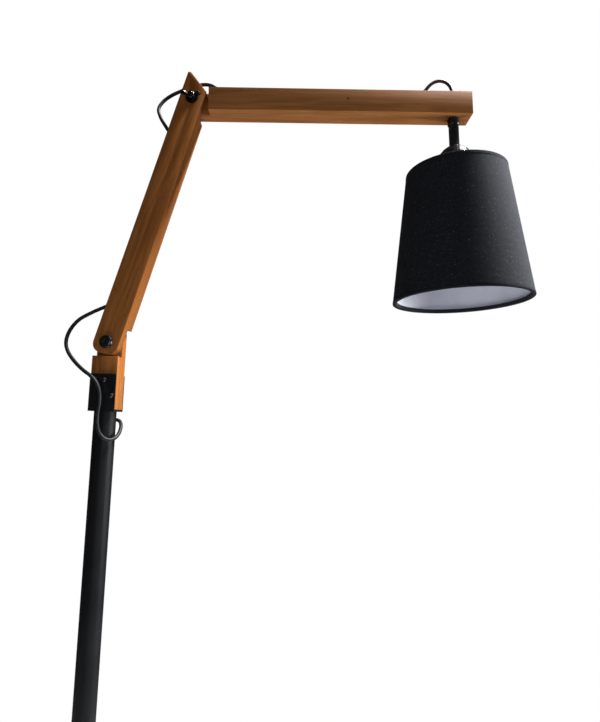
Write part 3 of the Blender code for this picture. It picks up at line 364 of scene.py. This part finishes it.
def opal(name):
    """The bulb's milky glass."""
    m = Nodes(name, (0.86, 0.86, 0.84), 0.22)
    cloud = m.noise(m.coords(), 40.0, 2.0)
    m.link(m.ramp(cloud, [(0.3, (0.84, 0.84, 0.82)), (0.7, (0.90, 0.90, 0.88))]), "Base Color")
    m.link(m.span(cloud, 0.18, 0.26, (0.3, 0.7)), "Roughness")
    m.set("Subsurface Weight", 0.4)
    m.set("Subsurface Scale", 0.01)
    m.set("Coat Weight", 0.4)
    m.set("Coat Roughness", 0.08)
    return m.mat


MATS = {
    "dark_timber": wood(
        "dark_timber", LOWER_ARM, "Z",
        dark=(0.140, 0.046, 0.009), mid=(0.205, 0.072, 0.016), light=(0.275, 0.104, 0.027),
    ),
    "block_timber": wood(
        "block_timber", BLOCK_PLACE, "Z",
        dark=(0.140, 0.047, 0.010), mid=(0.205, 0.073, 0.017), light=(0.275, 0.106, 0.028),
    ),
    # the upper arm's timber is the same wood as the lower arm's and the block's, painted lighter: painted light on
    # the upper arm
    "timber": wood(
        "timber", UPPER_ARM, "X",
        dark=(0.172, 0.063, 0.017), mid=(0.248, 0.097, 0.029), light=(0.325, 0.137, 0.045),
        knot=(0.264, -0.019, 0.003),
    ),
    "black_steel": powder_coat("black_steel", (0.0034, 0.0038, 0.0046), 0.48),
    "dark_metal": metal("dark_metal", (0.040, 0.041, 0.045), 0.24),
    "screw_steel": metal("screw_steel", (0.060, 0.060, 0.065), 0.34),
    "zinc_steel": metal("zinc_steel", (0.60, 0.60, 0.59), 0.32),
    "brass": metal("brass", (0.70, 0.52, 0.24), 0.28),
    "cast_iron": cast_iron("cast_iron"),
    "rubber": moulded("rubber", (0.018, 0.018, 0.018), 0.72, 1200.0, 0.3),
    "gloss_black": moulded("gloss_black", (0.005, 0.0055, 0.007), 0.20, 500.0, 0.02),
    "matte_black": moulded("matte_black", (0.016, 0.016, 0.017), 0.48, 1600.0, 0.35),
    "cord_sheath": sheath("cord_sheath"),
    "shade_fabric": woven("shade_fabric", (0.0050, 0.0056, 0.0074), (0.0245, 0.0268, 0.0335)),
    # the hems' cloth is the shade's cloth painted darker: painted shade along the rolled edges
    "shade_trim": woven("shade_trim", (0.0050, 0.0056, 0.0074), (0.0200, 0.0220, 0.0275)),
    "shade_lining": film("shade_lining", (0.43, 0.44, 0.50)),
    "white_wire": powder_coat("white_wire", (0.72, 0.72, 0.72), 0.35),
    "opal_glass": opal("opal_glass"),
}

# the pieces whose finish isn't the one named by their slot
FINISHES = {
    "knuckle_block": "block_timber",
    "hanger_collar": "gloss_black",
    "hanger_sleeve": "gloss_black",
}
SLOTS = {entry["node"]: entry["material_slot"] for entry in frame["record"]["subparts"]}


def dress_cad_nodes():
    """Each CAD node that stays gets its slot's finish."""
    for name, obj in frame["nodes"].items():
        finish = FINISHES.get(name, SLOTS[name])
        if not obj.material_slots:
            obj.data.materials.append(MATS[finish])
        for slot in obj.material_slots:
            slot.material = MATS[finish]


# ---------------------------------------------------------------- mesh helpers
def add_piece(name, bm, mat, body, nodes=(), matrix=None):
    """A visible piece from bm that rides body, if any, and stands for the CAD nodes."""
    mesh = bpy.data.meshes.new(name)
    bm.to_mesh(mesh)
    bm.free()
    mesh.shade_smooth()
    mesh.set_sharp_from_angle(angle=SHARP_ANGLE)
    mesh.materials.append(MATS[mat])
    obj = bpy.data.objects.new(name, mesh)
    bpy.context.collection.objects.link(obj)
    mesh.transform(matrix or Matrix.Identity(4))
    if body:
        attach(obj, body)
    if nodes:
        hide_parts(*nodes)
    return obj


def lathe(profile, sides):
    """A closed ring section, turned about Z, with a UV map in metres: around, and along the profile."""
    bm = bmesh.new()
    uv = bm.loops.layers.uv.new("uv")
    count = len(profile)
    runs = [0.0]
    for k in range(count):
        a, b = Vector(profile[k]), Vector(profile[(k + 1) % count])
        runs.append(runs[-1] + (b - a).length)
    rings = []
    for side in range(sides):
        angle = math.tau * side / sides
        turned = [(r * math.cos(angle), r * math.sin(angle), z) for r, z in profile]
        rings.append([bm.verts.new(place) for place in turned])
    radius = max(r for r, _ in profile)
    for side in range(sides):
        here, ahead = rings[side], rings[(side + 1) % sides]
        for k in range(count):
            after = (k + 1) % count
            face = bm.faces.new((here[k], ahead[k], ahead[after], here[after]))
            places = ((side, k), (side + 1, k), (side + 1, k + 1), (side, k + 1))
            for loop, (turn, step) in zip(face.loops, places):
                loop[uv].uv = (math.tau * turn / sides * radius, runs[step])
    bmesh.ops.recalc_face_normals(bm, faces=bm.faces)
    return bm


def smooth_route(route, spacing):
    """Points a spacing apart on a smooth curve through the route's own points."""
    pts = [Vector(p) for p in route]
    pts = [2 * pts[0] - pts[1], *pts, 2 * pts[-1] - pts[-2]]
    fine = []
    for p0, p1, p2, p3 in zip(pts, pts[1:], pts[2:], pts[3:]):
        k0, k1, k2 = ((b - a).length ** 0.5 for a, b in ((p0, p1), (p1, p2), (p2, p3)))
        slope1 = ((p1 - p0) / k0 - (p2 - p0) / (k0 + k1) + (p2 - p1) / k1) * k1
        slope2 = ((p2 - p1) / k1 - (p3 - p1) / (k1 + k2) + (p3 - p2) / k2) * k1
        for step in range(16):
            t = step / 16
            a, b = 2 * t**3 - 3 * t**2 + 1, t**3 - 2 * t**2 + t
            fine.append(a * p1 + b * slope1 + (1 - a) * p2 + (t**3 - t**2) * slope2)
    fine.append(pts[-2])
    lengths = [0.0]
    for a, b in zip(fine, fine[1:]):
        lengths.append(lengths[-1] + (b - a).length)
    count = max(1, round(lengths[-1] / spacing))
    out, k = [], 0
    for step in range(count + 1):
        want = lengths[-1] * step / count
        while k < len(fine) - 2 and lengths[k + 1] < want:
            k += 1
        share = (want - lengths[k]) / (lengths[k + 1] - lengths[k])
        out.append(fine[k].lerp(fine[k + 1], min(max(share, 0.0), 1.0)))
    return out


def tube(points, radius, sides=14):
    """A capped tube along the points, whose section doesn't twist."""
    bm = bmesh.new()
    heading = (points[1] - points[0]).normalized()
    side = heading.orthogonal().normalized()
    rings = []
    for k, point in enumerate(points):
        behind, ahead = points[max(k - 1, 0)], points[min(k + 1, len(points) - 1)]
        new = (ahead - behind).normalized()
        side = (heading.rotation_difference(new) @ side).normalized()
        heading = new
        other = heading.cross(side)
        angles = [math.tau * n / sides for n in range(sides)]
        offsets = [side * math.cos(a) + other * math.sin(a) for a in angles]
        rings.append([bm.verts.new(point + radius * offset) for offset in offsets])
    for here, ahead in zip(rings, rings[1:]):
        for n in range(sides):
            after = (n + 1) % sides
            bm.faces.new((here[n], here[after], ahead[after], ahead[n]))
    bm.faces.new(rings[0][::-1])
    bm.faces.new(rings[-1])
    return bm


# ---------------------------------------------------------------- cords
def lower_loop():
    """From the lower arm's groove, out to the left of the lower joint, down across the bracket,
    and around the pole's right side into the boot behind it."""
    groove_end = LOWER_SPLIT[0]
    heights = (groove_end - GAP, groove_end - 0.012)
    low = [LOWER_ARM @ Vector((-GROOVE_CENTRE, 0, along)) for along in heights]
    loop = [(-0.0045, -0.0003, 0.0645), (-0.012, -0.0008, 0.060), (-0.021, -0.0015, 0.0555),
            (-0.032, -0.003, 0.0493), (-0.0495, -0.007, 0.0365), (-0.0594, -0.011, 0.0213),
            (-0.0634, -0.014, 0.0078), (-0.063, -0.017, -0.0055), (-0.0572, -0.020, -0.0185),
            (-0.046, -0.023, -0.0321), (-0.031, -0.0257, -0.0455), (-0.0188, -0.0266, -0.0541),
            (-0.0105, -0.0268, -0.062), (-0.0048, -0.0268, -0.0721), (-0.0019, -0.0268, -0.0839),
            (-0.0015, -0.0268, -0.0965), (-0.0025, -0.0265, -0.106), (-0.0033, -0.0258, -0.1184),
            (-0.0026, -0.0250, -0.1306), (0.0007, -0.0243, -0.1415), (0.0071, -0.0230, -0.1495),
            (0.0146, -0.0190, -0.1528), (0.0205, -0.0125, -0.1505), (0.0234, -0.0035, -0.1446),
            (0.0234, 0.0060, -0.1368), (0.0212, 0.0145, -0.1292), (0.0172, 0.0202, -0.1238),
            (0.0122, 0.0220, -0.1217), (0.0045, POLE_D / 2 + BOOT_REACH, -ENTRY_BELOW)]
    route = low + [LOWER_PIVOT + Vector(p) for p in loop]
    points = smooth_route(route, CORD_SPACING)
    cord = add_piece("cord_past_lower_pivot", tube(points, CORD_R), "cord_sheath", None,
                     ["cord_loop_lower"])
    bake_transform(cord)


def upper_loop():
    """Out of the lower arm's groove, over the upper joint, into the upper arm's groove."""
    groove_end = LOWER_SPLIT[1]
    heights = (groove_end + GAP, groove_end + 0.012)
    route = [LOWER_ARM @ Vector((-GROOVE_CENTRE, 0, along)) for along in heights]
    loop = [(-0.0440, 0.0003, -0.0442), (-0.0546, 0.001, -0.0269), (-0.0598, 0.003, -0.0096),
            (-0.0528, 0.006, 0.0072), (-0.0400, 0.008, 0.0200), (-0.0250, 0.009, 0.0292),
            (-0.0087, 0.0095, 0.0378), (0.0100, 0.0085, 0.0424), (0.0208, 0.006, 0.0415),
            (0.0300, 0.003, 0.0374), (0.0390, 0.001, 0.0312), (0.053, 0.0002, 0.0276),
            (0.063, 0.0, 0.0215)]
    route += [UPPER_PIVOT + Vector(p) for p in loop]
    route += [UPPER_ARM @ Vector((UPPER_RUN[0] - back, 0, GROOVE_CENTRE)) for back in (0.010, GAP)]
    points = smooth_route(route, CORD_SPACING)
    cord = add_piece("cord_past_upper_pivot", tube(points, CORD_R), "cord_sheath", None,
                     ["cord_loop_upper"])
    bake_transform(cord)


def arc():
    """Out of the upper arm's groove and over into the hanging pipe, down to the holder."""
    route = [(UPPER_RUN[1] + GAP, 0, GROOVE_CENTRE), (0.378, 0, GROOVE_CENTRE), (0.389, 0, 0.0193),
             (0.3965, 0, 0.0258), (0.4035, 0, 0.0342), (0.4115, 0, 0.0435), (0.421, 0, 0.0497),
             (0.4310, 0, 0.0512), (0.4405, 0, 0.0478), (0.4468, 0, 0.0402)]
    cord_foot = -HALF_WIDTH - HOLDER_DROP - HOLDER_MOUTH
    route += [HANGER_IN_ARM @ Vector((0, 0, z)) for z in (0.030, 0.020, -0.020, cord_foot)]
    points = [UPPER_ARM @ p for p in smooth_route(route, CORD_SPACING)]
    cord = add_piece("cord_into_hanger", tube(points, CORD_R), "cord_sheath", "upper_arm_body",
                     ["cord_arc"])


def mains_lead():
    """One lead: out of the pole's foot, through the switch, into its stored coil, to the plug."""
    on_cover = BASE_HEIGHT + CORD_R + 0.0005
    switch_x, switch_y = SWITCH_AT
    coil_x, coil_y = COIL_AT
    inner = COIL_R - (COIL_COLUMNS - 1) * COIL_PITCH / 2
    outer = COIL_R + (COIL_COLUMNS - 1) * COIL_PITCH / 2
    low, high = COIL_LIFT + CORD_R, COIL_LIFT + CORD_R + CORD_D
    route = [(0, 0.0120, EXIT_HEIGHT), (0, 0.030, EXIT_HEIGHT), (0, 0.045, EXIT_HEIGHT),
             (0, 0.058, 0.0560), (0, 0.072, 0.0470), (0, 0.088, 0.0355), (0, 0.104, 0.0283),
             (0, 0.120, on_cover),
             (0, BASE_R - 0.006, on_cover), (0, BASE_R + 0.007, on_cover - 0.0020),
             (0, BASE_R + 0.020, on_cover - 0.0085), (0, BASE_R + 0.034, SWITCH_MID + 0.0015),
             (switch_x, switch_y - SWITCH_L / 2, SWITCH_MID), (switch_x, switch_y, SWITCH_MID),
             (switch_x, switch_y + SWITCH_L / 2 + 0.006, SWITCH_MID - 0.0004),
             (coil_x - outer, coil_y - 0.030, low + 0.0004)]
    inward, climb, steps = COIL_COLUMNS - 1, 1, 20
    for step in range(int((inward + climb + COIL_LAST_TURNS) * steps) + 1):
        turn = step / steps
        if turn <= inward:
            radius, height = outer - COIL_PITCH * turn, low
        elif turn <= inward + climb:
            radius, height = inner, low + (high - low) * (turn - inward) / climb
        else:
            radius, height = inner + COIL_PITCH * (turn - inward - climb), high
        angle = math.pi - math.tau * turn
        route.append((coil_x + radius * math.cos(angle), coil_y + radius * math.sin(angle), height))
    plug_x, plug_y = PLUG_AT
    plug_end = plug_y + PLUG_L / 2
    route += [(plug_x, coil_y - 0.016, high - 0.0004), (plug_x, coil_y - 0.032, high - 0.0016),
              (plug_x, plug_end + 0.018, PLUG_MID + 0.0012), (plug_x, plug_end + 0.006, PLUG_MID),
              (plug_x, plug_end + GAP, PLUG_MID)]
    points = smooth_route(route, LEAD_SPACING)
    lead = add_piece("mains_lead", tube(points, CORD_R), "cord_sheath", "stand",
                     ["mains_lead_to_switch", "mains_lead_to_coil", "mains_coil", "mains_tail"])


lower_loop()
upper_loop()
arc()
mains_lead()


# ---------------------------------------------------------------- timber and steel with eased edges
def eased_copy(node, name, mat, body, ease, segments=2, sharp=30.0):
    """The CAD node's own shape, its sharp edges eased as a maker would sand or grind them."""
    source = frame["nodes"][node]
    bm = bmesh.new()
    bm.from_mesh(source.data)
    bm.transform(source.matrix_world)
    bmesh.ops.remove_doubles(bm, verts=bm.verts, dist=1e-6)
    bmesh.ops.dissolve_limit(bm, angle_limit=math.radians(1.0), verts=bm.verts, edges=bm.edges)
    limit = math.radians(sharp)
    edges = [e for e in bm.edges if len(e.link_faces) == 2 and e.calc_face_angle(0.0) > limit]
    bmesh.ops.bevel(bm, geom=edges, offset=ease, segments=segments, profile=0.6, affect="EDGES",
                    clamp_overlap=True)
    bmesh.ops.recalc_face_normals(bm, faces=bm.faces)
    return add_piece(name, bm, mat, body, [node])


def build_eased_pieces():
    eased_copy("lower_arm", "lower_arm_timber", "dark_timber", "lower_arm_body",
               WOOD_EASE)
    eased_copy("upper_arm", "upper_arm_timber", "timber", "upper_arm_body", WOOD_EASE)
    eased_copy("knuckle_block", "knuckle_block_timber", "block_timber", "stand",
               WOOD_EASE)
    eased_copy("pole_bracket", "pole_bracket_steel", "black_steel", "stand",
               STEEL_EASE)
    for word, body in (("lower", "lower_wing_body"), ("upper", "upper_wing_body")):
        eased_copy(f"{word}_wing_nut", f"{word}_wing_nut_forged", "dark_metal", body,
                   STEEL_EASE)
    for word, body in (("lower", "stand"), ("upper", "lower_arm_body")):
        eased_copy(f"{word}_pivot_bolt", f"{word}_bolt_turned", "dark_metal", body,
                   BOLT_EASE, segments=3, sharp=20.0)


# ---------------------------------------------------------------- shade
def shade_radius(drop):
    return SHADE_TOP_R + (SHADE_BOTTOM_R - SHADE_TOP_R) * drop / SHADE_HEIGHT


def cone_layer(name, out, thickness, mat, nodes=()):
    """One layer of the shade: its outer face lies out metres inside the shade's outer face."""
    steps = 24
    drops = [SHADE_HEIGHT * k / steps for k in range(steps + 1)]
    outside = [(shade_radius(d) - out, SHADE_TOP - d) for d in drops]
    inside = [(shade_radius(d) - out - thickness, SHADE_TOP - d) for d in reversed(drops)]
    layer = lathe(outside + inside, SHADE_SIDES)
    return add_piece(name, layer, mat, "upper_arm_body", nodes, HANGER)


def rolled_rim(name, drop, up, node):
    """The cloth folded over the shade's edge and its wire: a thin leg outside, a taller one inside."""
    radius, edge = shade_radius(drop), SHADE_TOP - drop
    cloth, out, inner, rise = 0.0004, 0.0003, -0.0064, 0.0010
    outer_leg, inner_leg = 0.0040, 0.0056
    lean = (SHADE_BOTTOM_R - SHADE_TOP_R) / SHADE_HEIGHT * up
    turns = [math.pi / 2 * k / 4 for k in range(5)]
    section = [(out + lean * outer_leg, -outer_leg)]
    section += [(out - rise + rise * math.cos(a), rise * math.sin(a)) for a in turns]
    section += [(inner + rise - rise * math.sin(a), rise * math.cos(a)) for a in turns]
    section += [
        (inner + lean * inner_leg, -inner_leg),
        (inner + cloth + lean * inner_leg, -inner_leg),
        (inner + cloth, rise - cloth),
        (out - cloth, rise - cloth),
        (out - cloth + lean * outer_leg, -outer_leg),
    ]
    hem = lathe([(radius + r, edge + up * z) for r, z in section], SHADE_SIDES)
    # the hem takes the darker copy of the shade's cloth: painted shade along the edge
    return add_piece(name, hem, "shade_trim", "upper_arm_body", [node], HANGER)


def build_shade():
    cone_layer("shade_cloth", 0.0, FABRIC_T, "shade_fabric", ["shade_shell"])
    cone_layer("shade_lining", FABRIC_T, FABRIC_T, "shade_lining")
    rolled_rim("shade_top_hem", 0.0, 1, "shade_top_trim")
    rolled_rim("shade_bottom_hem", SHADE_HEIGHT, -1, "shade_bottom_trim")


# ---------------------------------------------------------------- stage
def area_light(name, place, target, size, power):
    """A white rectangular light at place, turned to the target."""
    data = bpy.data.lights.new(name, "AREA")
    data.shape = "RECTANGLE"
    data.size, data.size_y = size
    data.energy = power
    light = bpy.data.objects.new(name, data)
    bpy.context.collection.objects.link(light)
    light.location = place
    light.rotation_euler = (Vector(target) - Vector(place)).to_track_quat("-Z", "Y").to_euler()


def build_floor():
    """A round of pale studio floor under the lamp."""
    floor_mat = Nodes("studio_floor", grey(0.86), 0.7)
    cloud = floor_mat.noise(floor_mat.coords(), 3.0)
    floor_mat.link(floor_mat.ramp(cloud, [(0.3, grey(0.85)), (0.7, grey(0.88))]), "Base Color")
    bpy.ops.mesh.primitive_circle_add(
        vertices=96, radius=FLOOR_R, fill_type="NGON", location=(0, 0, -FLOOR_CLEARANCE)
    )
    floor = bpy.context.object
    floor.name = "studio_floor"
    floor.data.materials.append(floor_mat.mat)


def build_world():
    """A white backdrop behind a lamp that is lit softly, so the lamp stands dark against it."""
    world = bpy.data.worlds.new("studio")
    bpy.context.scene.world = world
    world.use_nodes = True
    nodes, links = world.node_tree.nodes, world.node_tree.links
    room, backdrop = nodes["Background"], nodes.new("ShaderNodeBackground")
    for shader, strength in ((room, ROOM_LIGHT), (backdrop, BACKDROP_LIGHT)):
        shader.inputs["Color"].default_value = (1, 1, 1, 1)
        shader.inputs["Strength"].default_value = strength
    choice, path = nodes.new("ShaderNodeMixShader"), nodes.new("ShaderNodeLightPath")
    links.new(path.outputs["Is Camera Ray"], choice.inputs["Fac"])
    links.new(room.outputs[0], choice.inputs[1])
    links.new(backdrop.outputs[0], choice.inputs[2])
    links.new(choice.outputs[0], nodes["World Output"].inputs["Surface"])


def build_stage():
    """Floor, backdrop, two strong lights from the right, and two weak ones from the front."""
    build_floor()
    build_world()
    area_light("key_high", (1.95, 0.18, 4.30), (0.1, 0, 1.1), (0.7, 0.7), 960)
    area_light("key_side", (2.5, 0.12, 1.10), (0.2, 0, 1.2), (0.6, 1.3), 85)
    area_light("fill_front", (0.9, -2.3, 0.9), (0.2, 0, 1.2), (1.5, 1.5), 15)
    area_light("strip_left", (-1.3, -1.5, 1.3), (0.1, 0, 1.2), (0.12, 1.8), 2)
    bpy.context.scene.view_settings.view_transform = "Standard"


dress_cad_nodes()
build_eased_pieces()
build_shade()
build_stage()
